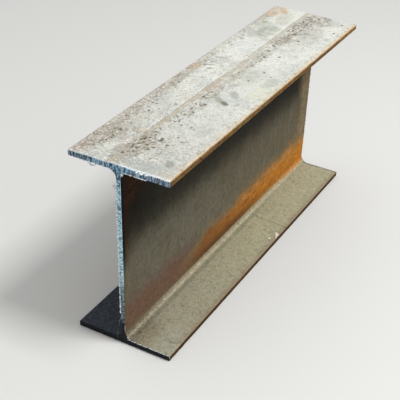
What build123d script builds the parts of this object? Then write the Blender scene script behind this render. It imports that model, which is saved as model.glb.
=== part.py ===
from build123d import *
import os
from math import radians, tan

# A short length of hot-rolled steel H-beam, cut off at both ends with a hand-held torch.
# It lies along Y on its lower flange, centred on X and Y, with the floor at z = 0.
# Sizes are in millimetres and angles in degrees.

# Rolled section
section_depth = 300.0
flange_width = 150.0
flange_thickness = 9.0
web_thickness = 6.5
root_radius = 13.0
toe_radius = 1.5

# Length over the long points of the two cuts
cut_length = 600.0

# Each cut runs a little out of square: skew is its turn seen from above, rake its lean seen from the side
near_skew = 2.1
near_rake = 1.8
far_skew = 1.4
far_rake = 0.7

# The flame melts the edges of the cut to a small radius all round
melted_edge_radius = 0.8

# The channel down each side, between the flanges and from the web's face out to the toes
channel_depth = (flange_width - web_thickness) / 2
channel_height = section_depth - 2 * flange_thickness
channel_middle = (flange_width + web_thickness) / 4


def cut_setback(skew, rake):
    """Distance along the beam from a cut's long point back to its middle."""
    return tan(radians(skew)) * flange_width / 2 + tan(radians(rake)) * section_depth / 2


# The near cut is longest at its top left corner, the far cut at its bottom right one
mid_height = section_depth / 2
near_cut = Plane(
    origin=(0, cut_setback(near_skew, near_rake) - cut_length / 2, mid_height),
    z_dir=(tan(radians(near_skew)), -1, -tan(radians(near_rake))),
)
far_cut = Plane(
    origin=(0, cut_length / 2 - cut_setback(far_skew, far_rake), mid_height),
    z_dir=(-tan(radians(far_skew)), 1, tan(radians(far_rake))),
)

with BuildPart() as h_beam:
    # The section as it leaves the rolls, flanges and web in one, with filleted roots and eased toes
    with BuildSketch(Plane.XZ) as section:
        with Locations((0, mid_height)):
            Rectangle(flange_width, section_depth)
        with Locations((-channel_middle, mid_height), (channel_middle, mid_height)):
            Rectangle(channel_depth, channel_height, mode=Mode.SUBTRACT)
        fillet(section.vertices().filter_by(lambda corner: abs(corner.X) < channel_middle), root_radius)
        fillet(section.vertices().filter_by(lambda corner: abs(corner.X) > channel_middle), toe_radius)
    extrude(amount=cut_length / 2, both=True)

    # The torch cuts, and their melted edges
    split(bisect_by=near_cut, keep=Keep.BOTTOM)
    split(bisect_by=far_cut, keep=Keep.BOTTOM)
    faces_along_beam = h_beam.faces().sort_by(Axis.Y)
    fillet(faces_along_beam[0].edges() + faces_along_beam[-1].edges(), melted_edge_radius)

h_beam.part.label = "h_beam"

os.makedirs("parts", exist_ok=True)
export_step(h_beam.part, "parts/h_beam.step")

# What the finished stock measures
steel_density_g_mm3 = 7.85e-3
box = h_beam.part.bounding_box()
mass_kg = h_beam.part.volume * steel_density_g_mm3 / 1000
print(f"width {box.size.X:.2f}, length {box.size.Y:.2f}, depth {box.size.Z:.2f} mm")
print(f"section {section.sketch.area / 100:.2f} cm2, weight {mass_kg:.2f} kg")
print(f"middles of the cuts at y {near_cut.origin.Y:.3f} and {far_cut.origin.Y:.3f} mm")
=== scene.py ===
"""Looks of a short length of hot-rolled steel H-beam whose ends were cut off with a hand-held torch.

The beam is one closed mesh in the place of its CAD solid. The rolled section is drawn out along Y and
divided finely enough to carry its pits, its rust scale and the drag lines of the cuts. Wear only takes
metal away, so the beam stays inside the CAD model's box. The drops and curls of dross left by the torch
are a second piece.
"""

import logging
import random
from dataclasses import dataclass
from enum import Enum
from functools import cached_property
from math import atan2, copysign, degrees, hypot, radians, tan
from typing import Any, Union

import bmesh
import bpy
from mathutils import Euler, Matrix, Vector, noise


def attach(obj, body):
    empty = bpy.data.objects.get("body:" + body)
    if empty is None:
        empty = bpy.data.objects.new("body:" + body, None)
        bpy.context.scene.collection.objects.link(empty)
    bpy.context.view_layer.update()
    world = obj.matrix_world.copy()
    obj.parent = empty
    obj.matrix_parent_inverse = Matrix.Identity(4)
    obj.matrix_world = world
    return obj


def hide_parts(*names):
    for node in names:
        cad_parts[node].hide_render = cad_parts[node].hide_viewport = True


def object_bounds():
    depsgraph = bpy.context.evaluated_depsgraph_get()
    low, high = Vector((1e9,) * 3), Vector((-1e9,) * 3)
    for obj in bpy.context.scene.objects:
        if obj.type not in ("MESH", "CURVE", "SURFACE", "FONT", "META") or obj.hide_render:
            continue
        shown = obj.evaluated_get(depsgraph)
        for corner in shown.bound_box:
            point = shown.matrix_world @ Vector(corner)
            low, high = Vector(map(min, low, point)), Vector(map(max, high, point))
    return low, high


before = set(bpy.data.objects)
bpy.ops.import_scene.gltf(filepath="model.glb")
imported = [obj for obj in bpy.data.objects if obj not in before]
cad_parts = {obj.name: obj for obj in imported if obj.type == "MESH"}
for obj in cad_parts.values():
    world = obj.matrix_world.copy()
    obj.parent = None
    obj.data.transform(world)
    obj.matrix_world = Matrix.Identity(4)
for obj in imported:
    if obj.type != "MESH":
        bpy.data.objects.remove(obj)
cad_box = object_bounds()

LOG = logging.getLogger("h_beam")
MM = 0.001
BODY = "root"
NODE = "h_beam"

# The section and the length over the long points of the cuts, in millimetres
DEPTH = 300.0
WIDTH = 150.0
LENGTH = 600.0

# How near two points are to be one, and how near a plane to lie on it, in millimetres
TOUCHING = 1e-4
FLUSH = 1e-3

Triple = tuple[float, float, float]
Colour = Triple


def colour(red: int, green: int, blue: int) -> Colour:
    """Turn a colour as a screen shows it into the linear one that Blender keeps.

    Args:
        red: Red, from 0 to 255.
        green: Green, from 0 to 255.
        blue: Blue, from 0 to 255.

    Returns:
        The linear colour, each part from 0 to 1.
    """
    parts = (part / 255 for part in (red, green, blue))
    return tuple(part / 12.92 if part <= 0.04045 else ((part + 0.055) / 1.055) ** 2.4 for part in parts)


def ease(low: float, high: float, value: float) -> float:
    """Rise smoothly from 0 at low to 1 at high, or fall where high is the smaller.

    Args:
        low: Where the rise starts.
        high: Where it ends.
        value: The place asked about.

    Returns:
        A share from 0 to 1.
    """
    share = min(1.0, max(0.0, (value - low) / (high - low)))
    return share * share * (3 - 2 * share)


def mottle(place: Vector, size: float, seed: float = 0.0) -> float:
    """Give soft random blotches of about one size.

    Args:
        place: A point, in millimetres.
        size: The size of a blotch, in millimetres.
        seed: Moves to another part of the same pattern.

    Returns:
        A value from 0 to 1, mostly near a half.
    """
    spot = place / size + Vector((seed, seed * 1.7, seed * 0.3))
    return min(1.0, max(0.0, 0.5 + 0.62 * noise.noise(spot)))


def make_object(name: str, bm: bmesh.types.BMesh, materials: list[bpy.types.Material],
                unit: float) -> bpy.types.Object:
    """Turn a finished mesh into a smooth, dressed object of the scene.

    Args:
        name: The object's name.
        bm: The mesh, which is used up.
        materials: Its finishes, in the order of its material slots.
        unit: The mesh's unit, in metres.

    Returns:
        The object.
    """
    bmesh.ops.scale(bm, verts=bm.verts[:], vec=(unit,) * 3)
    mesh = bpy.data.meshes.new(name)
    bm.to_mesh(mesh)
    bm.free()
    mesh.shade_smooth()
    for material in materials:
        mesh.materials.append(material)
    made = bpy.data.objects.new(name, mesh)
    bpy.context.scene.collection.objects.link(made)
    return made


class Signal:
    """A shader socket that takes part in Python arithmetic."""

    def __init__(self, graph: "Graph", socket: bpy.types.NodeSocket) -> None:
        """Keep the socket and the graph that it belongs to."""
        self.graph = graph
        self.socket = socket

    def __add__(self, other: "Value") -> "Signal":
        """Add a value."""
        return self.graph.math("ADD", self, other)

    def __sub__(self, other: "Value") -> "Signal":
        """Take a value away."""
        return self.graph.math("SUBTRACT", self, other)

    def __rsub__(self, other: "Value") -> "Signal":
        """Be taken away from a value."""
        return self.graph.math("SUBTRACT", other, self)

    def __mul__(self, other: "Value") -> "Signal":
        """Multiply by a value."""
        return self.graph.math("MULTIPLY", self, other)

    def __abs__(self) -> "Signal":
        """Drop the sign."""
        return self.graph.math("ABSOLUTE", self)

    __radd__ = __add__
    __rmul__ = __mul__


Value = Union[Signal, float]
Tint = Union[Signal, Colour]


class Graph:
    """A node tree that is built from Python expressions."""

    def __init__(self, owner: bpy.types.Material | bpy.types.World) -> None:
        """Empty the owner's node tree.

        Args:
            owner: A material or a world.
        """
        owner.use_nodes = True
        self.owner = owner
        self.tree = owner.node_tree
        self.tree.nodes.clear()

    def node(self, kind: str, settings: dict[str, Any] | None = None,
             sockets: dict[str, Any] | None = None) -> bpy.types.Node:
        """Add one node.

        Args:
            kind: The node's type, without its ShaderNode prefix.
            settings: Its own settings, put in before anything is linked.
            sockets: A link or a constant for each input, by the input's name.

        Returns:
            The node.
        """
        node = self.tree.nodes.new("ShaderNode" + kind)
        for name, value in (settings or {}).items():
            setattr(node, name, value)
        for name, value in (sockets or {}).items():
            socket = next(s for s in node.inputs if s.enabled and s.name == name)
            if isinstance(value, Signal):
                self.tree.links.new(value.socket, socket)
            elif socket.type == "RGBA":
                socket.default_value = (*value, 1.0)
            else:
                socket.default_value = value
        return node

    def result(self, node: bpy.types.Node, name: str | None = None) -> Signal:
        """Take a node's output: the one of that name, or else its first."""
        return Signal(self, next(s for s in node.outputs if s.enabled and name in (None, s.name)))

    def math(self, operation: str, *values: Value) -> Signal:
        """Add a Math node.

        Args:
            operation: What it does, such as ADD.
            *values: One or more values.

        Returns:
            The result.
        """
        node = self.node("Math", {"operation": operation})
        for socket, value in zip(node.inputs, values):
            if isinstance(value, Signal):
                self.tree.links.new(value.socket, socket)
            else:
                socket.default_value = value
        return self.result(node)

    def largest(self, *values: Value) -> Signal:
        """Take the largest of some values.

        Args:
            *values: Two or more values.

        Returns:
            The largest.
        """
        result = values[0]
        for value in values[1:]:
            result = self.math("MAXIMUM", result, value)
        return result

    def vector(self, operation: str, first: Signal, second: Signal | Triple) -> Signal:
        """Add a Vector Math node.

        Args:
            operation: What it does, such as ADD.
            first: A vector.
            second: Another one, or three numbers.

        Returns:
            The result.
        """
        node = self.node("VectorMath", {"operation": operation})
        self.tree.links.new(first.socket, node.inputs[0])
        if isinstance(second, Signal):
            self.tree.links.new(second.socket, node.inputs[1])
        else:
            node.inputs[1].default_value = second
        return self.result(node)

    def mix(self, share: Value, first: Tint, second: Tint) -> Signal:
        """Blend two colours.

        Args:
            share: How much of the second one there is, from 0 to 1.
            first: A colour or a link to one.
            second: A colour or a link to one.

        Returns:
            The blend.
        """
        settings = {"data_type": "RGBA", "clamp_factor": True}
        return self.result(self.node("Mix", settings, {"Factor": share, "A": first, "B": second}))

    def shade(self, base: Tint, level: Value) -> Signal:
        """Make a colour darker or lighter by a factor."""
        node = self.node("VectorMath", {"operation": "SCALE"}, {"Vector": base, "Scale": level})
        return self.result(node)

    def between(self, value: Value, low: float, high: float) -> Signal:
        """Rise smoothly from 0 at low to 1 at high, or fall where high is the smaller.

        Args:
            value: The value asked about.
            low: Where the rise starts.
            high: Where it ends.

        Returns:
            A share from 0 to 1.
        """
        rising = low < high
        ends = {"From Min": min(low, high), "From Max": max(low, high),
                "To Min": 0.0 if rising else 1.0, "To Max": 1.0 if rising else 0.0}
        ramp = self.node("MapRange", {"interpolation_type": "SMOOTHSTEP"}, {"Value": value, **ends})
        return self.result(ramp)

    def place(self) -> Signal:
        """Find the point being shaded, in millimetres of the frame."""
        return self.vector("MULTIPLY", self.result(self.node("TexCoord"), "Object"), (1 / MM,) * 3)

    def parts(self, vector: Signal) -> tuple[Signal, Signal, Signal]:
        """Split a vector into its x, y and z."""
        node = self.node("SeparateXYZ", sockets={"Vector": vector})
        return self.result(node, "X"), self.result(node, "Y"), self.result(node, "Z")

    def noise(self, place: Signal, size: float, detail: float = 2.0, rough: float = 0.5,
              stretch: Triple | None = None) -> Signal:
        """Make random blotches.

        Args:
            place: The point, in millimetres.
            size: The size of a blotch, in millimetres.
            detail: How many finer layers are laid over the first.
            rough: How strong those layers are.
            stretch: How many times longer a blotch is along each axis.

        Returns:
            A value from 0 to 1, mostly near a half.
        """
        if stretch:
            place = self.vector("DIVIDE", place, stretch)
        return self.result(self.node("TexNoise", sockets={
            "Vector": place, "Scale": 1 / size, "Detail": detail, "Roughness": rough}))

    def flecks(self, place: Signal, size: float, low: float, high: float,
               stretch: Triple | None = None) -> Signal:
        """Cut noise off between two values, which leaves ragged flecks.

        Args:
            place: The point, in millimetres.
            size: The size of the noise, in millimetres.
            low: The value at which a fleck starts.
            high: The value at which it is full.
            stretch: How many times longer a fleck is along each axis.

        Returns:
            A value from 0 to 1, mostly 0.
        """
        return self.between(self.noise(place, size, 4.0, 0.7, stretch), low, high)

    def dots(self, place: Signal, pitch: float, radius: float, share: float) -> Signal:
        """Scatter round dots.

        Args:
            place: The point, in millimetres.
            pitch: How far apart they could be, in millimetres.
            radius: The radius of one, in millimetres.
            share: How many of the possible ones are there, from 0 to 1.

        Returns:
            A value from 0 to 1, mostly 0.
        """
        cells = self.node("TexVoronoi", sockets={"Vector": place, "Scale": 1 / pitch})
        tint = self.node("SeparateColor", sockets={"Color": self.result(cells, "Color")})
        there = self.between(self.result(tint, "Red"), 1 - share - 0.02, 1 - share + 0.02)
        return there * self.between(self.result(cells, "Distance"), radius / pitch, radius / pitch * 0.45)

    def ragged(self, place: Signal, size: float, reach: float) -> Signal:
        """Push a point about at random, so that a pattern's borders turn ragged.

        Args:
            place: The point, in millimetres.
            size: The size of the pushes' pattern, in millimetres.
            reach: About how far a point is pushed, in millimetres.

        Returns:
            The moved point.
        """
        pushes = self.result(self.node("TexNoise", sockets={
            "Vector": place, "Scale": 1 / size, "Detail": 3.0, "Roughness": 0.65}), "Color")
        centred = self.vector("SUBTRACT", pushes, (0.5, 0.5, 0.5))
        return self.vector("ADD", place, self.vector("MULTIPLY", centred, (3 * reach,) * 3))

    def attribute(self, name: str) -> Signal:
        """Read one of the mesh's own values."""
        return self.result(self.node("Attribute", {"attribute_name": name}), "Fac")

    def steel(self, base: Signal, roughness: Value, metallic: Value, relief: Signal,
              relief_depth: float, shine: float = 0.5) -> None:
        """Finish the tree as a steel surface.

        Args:
            base: The colour.
            roughness: The roughness.
            metallic: How metallic it is.
            relief: Height of the finest relief, from 0 to 1.
            relief_depth: What 1 stands for, in millimetres.
            shine: The specular level, the same all over.
        """
        bump = self.node("Bump", sockets={"Height": relief, "Strength": 1.0, "Distance": relief_depth * MM})
        shader = self.node("BsdfPrincipled", sockets={
            "Base Color": base, "Roughness": roughness, "Metallic": metallic, "Normal": self.result(bump),
            "Specular IOR Level": shine})
        self.node("OutputMaterial", sockets={"Surface": self.result(shader)})


@dataclass(frozen=True)
class TorchCut:
    """The plane of one cut: its long point along the beam, its turn from above and its lean, in degrees."""

    long_point: float
    skew: float
    rake: float

    @cached_property
    def middle(self) -> float:
        """Where the cut crosses the middle of the section, to a thousandth of a millimetre."""
        back = tan(radians(self.skew)) * WIDTH / 2 + tan(radians(self.rake)) * DEPTH / 2
        return round(self.long_point - copysign(back, self.long_point), 3)

    def along(self, x: Value, z: Value) -> Value:
        """Find where the cut crosses the beam at one point of its section.

        Args:
            x: Distance to the right of the beam's middle.
            z: Height.

        Returns:
            The distance along the beam.
        """
        return self.middle + tan(radians(self.skew)) * x - tan(radians(self.rake)) * (z - DEPTH / 2)


NEAR_CUT = TorchCut(-LENGTH / 2, 2.1, 1.8)
FAR_CUT = TorchCut(LENGTH / 2, 1.4, 0.7)


@dataclass(frozen=True)
class Stain:
    """One mark on the upper face, seen from above, in millimetres and degrees."""

    x: float
    y: float
    reach_x: float
    reach_y: float
    turn: float
    tint: Colour
    strength: float
    reach_z: float = 60.0

    def lay(self, graph: Graph, place: Signal, patchy: Value, base: Signal) -> Signal:
        """Lay the mark over a colour.

        Args:
            graph: The tree that it is added to.
            place: The point being shaded, already pushed about.
            patchy: How much of the mark is left, from 0 to 1.
            base: The colour under the mark.

        Returns:
            The colour with the mark on it.
        """
        local = graph.result(graph.node("Mapping", {"vector_type": "TEXTURE"}, {
            "Vector": place, "Location": (self.x, self.y, DEPTH), "Rotation": (0.0, 0.0, radians(self.turn)),
            "Scale": (self.reach_x, self.reach_y, self.reach_z)}))
        length = graph.node("VectorMath", {"operation": "LENGTH"}, {"Vector": local})
        distance = graph.result(length, "Value")
        return graph.mix(graph.between(distance, 1.3, 0.5) * patchy * self.strength, base, self.tint)


# Clouds, smudges, brown patches and bare spots of the upper face
TOP_MARKS = (
    Stain(-38, 182, 17, 32, -20, colour(168, 173, 158), 0.9),
    Stain(-50, 208, 8, 22, 20, colour(164, 170, 156), 0.5),
    Stain(-36, 246, 13, 26, 0, colour(198, 190, 170), 0.55),
    Stain(-38, 100, 16, 34, 0, colour(234, 236, 230), 0.7),
    Stain(-14, -268, 11, 16, 0, colour(172, 167, 154), 0.45),
    Stain(32, -282, 34, 14, 0, colour(170, 175, 172), 0.8),
    Stain(52, -260, 7, 9, 20, colour(150, 153, 142), 0.85),
    Stain(60, -284, 12, 9, 0, colour(206, 202, 182), 0.6),
    Stain(53, 14, 8, 19, 0, colour(172, 174, 160), 0.85),
    Stain(24, 18, 14, 34, 0, colour(186, 188, 179), 0.8),
    Stain(42, 8, 36, 60, 0, colour(200, 201, 189), 0.35),
    Stain(0, 14, 9, 40, 0, colour(186, 180, 164), 0.75),
    Stain(1, 80, 8, 34, 0, colour(176, 176, 160), 0.55),
    Stain(2, 164, 9, 26, 0, colour(160, 154, 140), 0.55),
    Stain(1, -172, 9, 50, 0, colour(228, 229, 222), 0.45),
    Stain(55, -24, 12, 26, 0, colour(222, 222, 194), 0.6),
    Stain(28, -60, 15, 26, 0, colour(198, 200, 192), 0.45),
    Stain(-61, 264, 13, 26, -28, colour(212, 184, 148), 0.75),
    Stain(-51, 279, 9, 15, 26, colour(202, 170, 128), 0.7),
    Stain(-68, 284, 8, 10, 0, colour(214, 186, 156), 0.8),
    Stain(-66, 262, 8, 12, 0, colour(214, 180, 160), 0.6),
    Stain(-70, 238, 8, 18, 0, colour(184, 170, 152), 0.5),
    Stain(-66, 2, 8, 17, 0, colour(186, 166, 118), 0.9),
    Stain(-20, 46, 34, 8, 0, colour(200, 192, 184), 0.6),
    Stain(4, 50, 6, 10, 0, colour(184, 160, 146), 0.5),
    Stain(-6, -34, 7, 22, 0, colour(196, 170, 154), 0.6),
    Stain(-24, -240, 2.4, 10, 10, colour(236, 222, 212), 0.9),
    Stain(-70, -284, 8, 15, 0, colour(158, 126, 112), 0.75),
    Stain(-58, -288, 7, 9, 0, colour(196, 180, 152), 0.6),
    Stain(-55, -228, 6, 14, 0, colour(146, 146, 122), 0.6),
    Stain(-38, -274, 13, 18, 0, colour(212, 214, 204), 0.7),
    Stain(-22, -256, 5, 14, -14, colour(150, 140, 124), 0.5),
    Stain(-34, -236, 7, 9, 0, colour(176, 166, 154), 0.6),
    Stain(63, -262, 4, 4, 0, colour(204, 160, 142), 0.5),
    Stain(1, -62, 7.5, 7, 0, colour(118, 112, 96), 0.85),
    Stain(0, -61, 3.4, 3.6, 0, colour(236, 234, 226), 1.0),
    Stain(-4, -78, 2.2, 3.4, 0, colour(84, 82, 66), 0.9),
    Stain(8, -98, 4, 7, 0, colour(158, 140, 126), 0.7),
    Stain(6, -130, 3.5, 9, 0, colour(160, 158, 134), 0.7),
    Stain(48, -165, 9, 20, -25, colour(182, 186, 180), 0.6),
    Stain(-52, -118, 16, 20, 0, colour(186, 188, 182), 0.5),
    Stain(46, -71, 3, 4, 0, colour(172, 174, 164), 0.8),
    Stain(-62, -67, 8, 8, 0, colour(140, 136, 120), 0.8),
    Stain(14, -22, 5, 12, -30, colour(176, 176, 168), 0.7),
    Stain(60, 207, 5, 7, 0, colour(174, 176, 168), 0.8),
    Stain(22, 211, 5, 5, 0, colour(150, 148, 132), 0.8),
    Stain(14, 168, 5, 16, -30, colour(176, 172, 156), 0.7),
    Stain(-22, 214, 4.5, 4.5, 0, colour(232, 232, 224), 0.9),
    Stain(-3, 294, 14, 7, 0, colour(206, 178, 158), 0.6),
)

# The smudge and the smeared stroke on the right, from pale to dark, and the thin streaks near the left rim
TOP_STREAKS = (
    Stain(29, -48, 6.5, 13, 36, colour(170, 172, 168), 0.75),
    Stain(19, -74, 16, 5.4, -33, colour(166, 169, 152), 0.95),
    Stain(30, -78.5, 7.5, 4.6, -36, colour(112, 114, 102), 0.9),
    Stain(-44, 8.5, 6.0, 2.2, 44, colour(142, 145, 128), 0.9),
    Stain(-51, 20, 10.0, 2.4, 25, colour(168, 167, 146), 0.8),
    Stain(-51.5, 30.5, 6.0, 2.0, 58, colour(172, 173, 154), 0.7),
    Stain(-48, 52.5, 13.0, 2.8, 12, colour(172, 173, 160), 0.8),
)


@dataclass(frozen=True)
class OuterScale:
    """Weathered mill scale on the outer faces of the flanges, gone pale, with brown pitted bands."""

    name: str = "outer_scale"
    near_pale: Colour = colour(208, 208, 201)
    far_pale: Colour = colour(230, 232, 224)
    cool: Colour = colour(180, 187, 183)
    warm: Colour = colour(200, 191, 172)
    flake: Colour = colour(246, 245, 240)
    band: Colour = colour(176, 168, 151)
    band_far: Colour = colour(182, 172, 157)
    band_mark: Colour = colour(146, 139, 121)
    band_streak: Colour = colour(132, 113, 100)
    dark: Colour = colour(118, 112, 96)
    speck: Colour = colour(148, 144, 128)
    pit: Colour = colour(84, 78, 62)
    line: Colour = colour(184, 173, 150)
    seam: Colour = colour(146, 136, 114)
    cream: Colour = colour(218, 203, 176)
    border: Colour = colour(178, 167, 154)
    rim: Colour = colour(226, 204, 168)
    rim_dark: Colour = colour(168, 124, 82)
    melted: Colour = colour(240, 243, 242)
    underside: Colour = colour(104, 97, 86)

    def material(self) -> bpy.types.Material:
        """Build the finish.

        Returns:
            The material.
        """
        graph = Graph(bpy.data.materials.new(self.name))
        place = graph.place()
        x, y, z = graph.parts(place)
        upper = graph.between(z, 100, 200)
        band, pitting = graph.attribute("band"), graph.attribute("pitting")
        middle = graph.between(x, 26, 8) * graph.between(y, 120, 60) * 0.45
        near = graph.between(y, -185, -215) * (0.35 + graph.between(x, 40, 15) * 0.65)
        busy = graph.largest(middle, near, graph.between(x, -48, -58), band)
        gritty = (0.78 + graph.between(y, 60, -220) * 0.22) * (0.74 + busy * 1.05)
        base = self.ground(graph, place, x, y, gritty)
        base = self.line_along(graph, place, base, upper)
        base = self.bands(graph, place, y, band, base)
        ragged = graph.ragged(graph.ragged(place, 21, 6.0), 5, 2.6)
        patchy = 0.45 + graph.flecks(place, 10, 0.36, 0.62) * 0.55
        for mark in TOP_MARKS:
            base = mark.lay(graph, ragged, patchy, base)
        for mark in TOP_STREAKS:
            base = mark.lay(graph, graph.ragged(place, 6, 0.8), 1.0, base)
        base = graph.mix(graph.between(pitting, 0.25, 0.75) * 0.82, base, self.pit)
        base = graph.mix((1 - upper) * 0.75, base, self.underside)
        base = self.rims(graph, place, x, y, base)
        blotches = graph.noise(place, 7, 4, 0.75)
        grain = graph.noise(place, 2.4, 4, 0.75)
        base = graph.shade(base, 1 + (blotches - 0.5) * 0.55 * gritty + (grain - 0.5) * 1.15 * gritty)
        crusty = band * graph.flecks(place, 6, 0.4, 0.6)
        relief = blotches * 0.4 + grain * 0.6 - pitting * 0.5 + crusty * 0.8
        roughness = 0.55 + pitting * 0.25 + (blotches - 0.5) * 0.4
        graph.steel(base, roughness, 0.15 - pitting * 0.12, relief, 0.55)
        return graph.owner

    def ground(self, graph: Graph, place: Signal, x: Signal, y: Signal, gritty: Signal) -> Signal:
        """Colour the pale scale itself, with its clouds, specks and pinholes.

        Args:
            graph: The tree that it is added to.
            place: The point being shaded, in millimetres.
            x: Distance to the right of the beam's middle.
            y: Distance along the beam.
            gritty: How gritty the scale is, from 0 to about 1.

        Returns:
            The colour.
        """
        base = graph.mix(graph.between(y, -300, 60), self.near_pale, self.far_pale)
        base = graph.mix(graph.flecks(place, 44, 0.46, 0.64) * 0.42, base, self.cool)
        warm_flecks = graph.flecks(place, 23, 0.5, 0.66, (1, 1.6, 1)) * gritty
        base = graph.mix(warm_flecks * (0.2 + graph.between(x, 10, -20) * 0.25), base, self.warm)
        base = graph.mix(graph.flecks(place, 5.5, 0.55, 0.64, (1, 1.8, 1)) * gritty * 0.45, base, self.dark)
        base = graph.mix(graph.flecks(place, 3.1, 0.54, 0.64) * gritty * 0.6, base, self.speck)
        base = graph.mix(graph.flecks(place, 4.2, 0.57, 0.65) * 0.6, base, self.flake)
        pinholes = graph.dots(graph.ragged(place, 5, 1.2), 9, 1.8, 0.24)
        return graph.mix(pinholes * gritty * 0.75, base, self.pit)

    def line_along(self, graph: Graph, place: Signal, base: Signal, upper: Signal) -> Signal:
        """Draw the tan line that runs along the middle of the upper face, and the dark seam on its left.

        Args:
            graph: The tree that it is added to.
            place: The point being shaded, in millimetres.
            base: The colour under the line.
            upper: 1 on the upper flange and 0 on the lower one.

        Returns:
            The colour with the line on it.
        """
        x, y, _ = graph.parts(graph.ragged(place, 8, 1.1))
        centre = -13 + graph.between(abs(y - 45), 90, 10) * 2.5 + graph.between(y, 80, 150) * 2
        middle = graph.between(abs(y - 45), 110, 30)
        off = abs(x - centre)
        broken = 0.45 + graph.flecks(place, 9, 0.35, 0.6) * 0.55
        strength = 0.95 - middle * 0.1 - graph.between(y, 50, 110) * 0.3
        base = graph.mix(graph.between(off, 4.2, 2.6) * strength * broken * upper, base, self.line)
        seam = graph.between(abs(x - centre + 3.9), 1.7, 0.3)
        return graph.mix(seam * (0.75 - middle * 0.3) * broken * upper, base, self.seam)

    def bands(self, graph: Graph, place: Signal, y: Signal, band: Signal, base: Signal) -> Signal:
        """Brown the pitted bands, and add their marks, flakes and streaks.

        Args:
            graph: The tree that they are added to.
            place: The point being shaded, in millimetres.
            y: Distance along the beam.
            band: How much of a band there is, from 0 to 1.
            base: The colour under them.

        Returns:
            The colour with the bands on it.
        """
        near, far = graph.between(y, -170, -215), graph.between(y, 130, 175)
        ends = graph.largest(near, far)
        fill = graph.mix(far, self.band, self.band_far)
        speckle = graph.flecks(place, 8, 0.36, 0.56)
        base = graph.mix(band * (0.1 + speckle * 0.22 + ends * 0.5), base, fill)
        spots = graph.ragged(place, 4, 1.4)
        marks = graph.flecks(spots, 6.5, 0.5, 0.6, (1, 1.3, 1))
        base = graph.mix(band * marks * (0.75 + ends * 0.05), base, self.band_mark)
        turned = graph.result(graph.node("Mapping", {"vector_type": "TEXTURE"}, {
            "Vector": spots, "Rotation": (0.0, 0.0, radians(-35))}))
        streaks = graph.flecks(turned, 4.0, 0.51, 0.6, (1, 3.5, 1))
        base = graph.mix(band * far * streaks * 0.9, base, self.band_streak)
        elsewhere = graph.vector("ADD", turned, (40, 0, 0))
        gaps = graph.flecks(elsewhere, 5.0, 0.51, 0.6, (1, 3.5, 1))
        base = graph.mix(band * far * gaps * 0.9, base, self.far_pale)
        base = graph.mix(band * graph.flecks(spots, 3.8, 0.55, 0.61) * 0.8, base, self.flake)
        dark_flecks = band * graph.flecks(spots, 4.6, 0.56, 0.62)
        base = graph.mix(dark_flecks * (0.75 - near * 0.3 - far * 0.1), base, self.dark)
        pinholes = band * graph.dots(spots, 7, 2.0, 0.3)
        return graph.mix(pinholes * (0.8 - near * 0.35 - far * 0.2), base, self.pit)

    def rims(self, graph: Graph, place: Signal, x: Signal, y: Signal, base: Signal) -> Signal:
        """Colour the borders: cream with rusty specks and a painted highlight along the sides, white along
        the near cut.

        Args:
            graph: The tree that they are added to.
            place: The point being shaded, in millimetres.
            x: Distance to the right of the beam's middle.
            y: Distance along the beam.
            base: The colour under them.

        Returns:
            The colour with the borders on it.
        """
        wander = (graph.noise(place, 9, 3, 0.6) - 0.5) * 16
        spots = graph.ragged(place, 5, 1.8)
        left = graph.between(x + wander, -52, -64) * (1 - graph.between(y, -50, 60) * 0.7)
        cloudy = graph.flecks(place, 9, 0.42, 0.6, (1, 1.6, 1))
        base = graph.mix(left * (0.16 + cloudy * 0.54), base, self.border)
        base = graph.mix(left * graph.flecks(spots, 5.5, 0.5, 0.6, (1, 1.5, 1)) * 0.8, base, self.band_mark)
        base = graph.mix(left * graph.flecks(spots, 3.4, 0.54, 0.61) * 0.75, base, self.flake)
        creamy = graph.between(x + wander * 0.6, 64, 73)
        base = graph.mix(creamy * 0.55, base, self.cream)
        cream_specks = graph.between(x, 62, 73) * graph.flecks(place, 5, 0.5, 0.62, (1, 2, 1))
        base = graph.mix(cream_specks * 0.7, base, self.rim)
        grey_specks = graph.between(x, 54, 68) * graph.flecks(spots, 4.6, 0.54, 0.61, (1, 1.5, 1))
        base = graph.mix(grey_specks * 0.6, base, self.speck)
        # Painted highlight: cream on the rounded edges, stronger on the right side
        rim = graph.between(abs(x) + graph.noise(place, 6) * 3, 73.8, 75.6)
        patchy = 0.5 + graph.flecks(place, 9, 0.36, 0.56, (1, 1.6, 1)) * 0.5
        base = graph.mix(rim * patchy * (0.35 + graph.between(x, -10, 10) * 0.5), base, self.rim)
        base = graph.mix(rim * graph.flecks(place, 6, 0.49, 0.59, (1, 1.6, 1)) * 0.8, base, self.rim_dark)
        from_cut = y - NEAR_CUT.along(x, DEPTH) + graph.noise(place, 5) * 4
        share = 0.3 + graph.between(x, -15, 15) * 0.55
        return graph.mix(graph.between(from_cut, 7.5, 4.0) * share, base, self.melted)


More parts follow.
